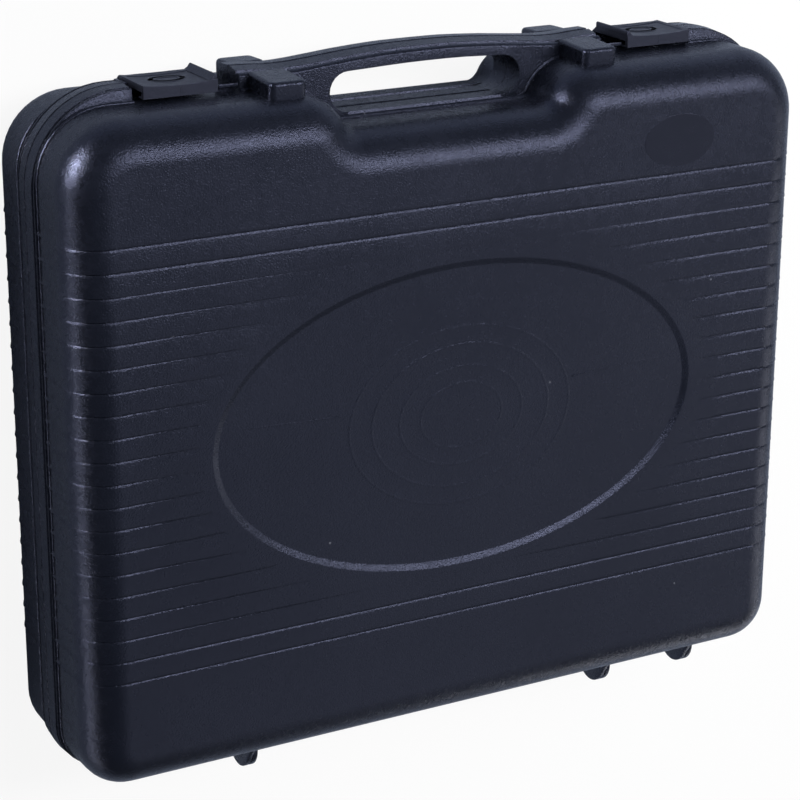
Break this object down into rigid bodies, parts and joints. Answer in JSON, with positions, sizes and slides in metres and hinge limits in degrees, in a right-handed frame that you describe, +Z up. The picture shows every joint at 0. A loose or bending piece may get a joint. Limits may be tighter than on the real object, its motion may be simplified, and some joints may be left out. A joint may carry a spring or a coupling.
{
  "type": "butane stove in a carry case",
  "caption": "Portable butane stove packed in a hinged, blow-moulded carry case with an arched handle, sliding latches, ribbed walls and a sunk oval panel.",
  "frame": {"origin": "on the outer face of the base, which the case lies on, below the middle of the whole part", "axes": "+Z up out of the lid, -Y towards the handle, +Y towards the hinges, +X to the right seen from the handle side"},
  "size_m": [0.37, 0.3372, 0.094],
  "materials": {
    "case_plastic": "fine sand grain, black",
    "latch_plastic": "smooth satin, black",
    "painted_steel": "semi-gloss black enamel paint",
    "enamel": "glossy black enamel",
    "cast_alloy": "die-cast",
    "plated_steel": "zinc plated",
    "brass": "satin",
    "knob_plastic": "satin black",
    "lead_sheath": "red silicone sheath",
    "ceramic": "glazed ceramic",
    "foot_rubber": "matte"
  },
  "bodies": {
    "base": {"base_shell": "case_plastic", "hinge_pins": "latch_plastic", "stove_body": "painted_steel", "top_plate": "painted_steel", "drip_pan": "enamel", "pan_support": "enamel", "burner_head": "cast_alloy", "burner_cap": "brass", "burner_bracket": "plated_steel", "mixing_tube": "plated_steel", "gas_jet": "brass", "gas_pipe": "brass", "regulator": "cast_alloy", "dial_plate": "plated_steel", "piezo_igniter": "knob_plastic", "igniter_lead": "lead_sheath", "igniter_electrode": "ceramic", "cartridge_cradle": "plated_steel", "heat_shield": "plated_steel", "cartridge_door": "painted_steel", "door_hinge_pins": "plated_steel", "stove_feet": "foot_rubber", "stove_screws": "plated_steel"},
    "lid": {"lid_shell": "case_plastic"},
    "latch_left_body": {"latch_left": "latch_plastic"},
    "latch_right_body": {"latch_right": "latch_plastic"},
    "knob": {"control_knob": "knob_plastic", "valve_spindle": "brass"},
    "lever": {"lock_lever": "knob_plastic"},
    "yoke": {"cartridge_yoke": "plated_steel"}
  },
  "joints": [
    {"name": "lid_hinge", "type": "hinge", "parent": "base", "child": "lid", "pos_m": [0, 0.1574, 0.047], "axis": [-1, 0, 0], "range_deg": [0, 180]},
    {"name": "latch_left_slide", "type": "slide", "parent": "base", "child": "latch_left_body", "axis": [1, 0, 0], "range_m": [0, 0.01]},
    {"name": "latch_right_slide", "type": "slide", "parent": "base", "child": "latch_right_body", "axis": [-1, 0, 0], "range_m": [0, 0.01]},
    {"name": "knob_turn", "type": "hinge", "parent": "base", "child": "knob", "pos_m": [0.13, -0.1351, 0.042], "axis": [0, -1, 0], "range_deg": [0, 110]},
    {"name": "lever_slide", "type": "slide", "parent": "base", "child": "lever", "axis": [0, 0, -1], "range_m": [0, 0.012]},
    {"name": "yoke_slide", "type": "slide", "parent": "base", "child": "yoke", "axis": [0, -1, 0], "range_m": [0, 0.005]}
  ],
  "couplings": [
    {"joint": "yoke_slide", "follows": "lever_slide", "ratio": 0.41667}
  ]
}
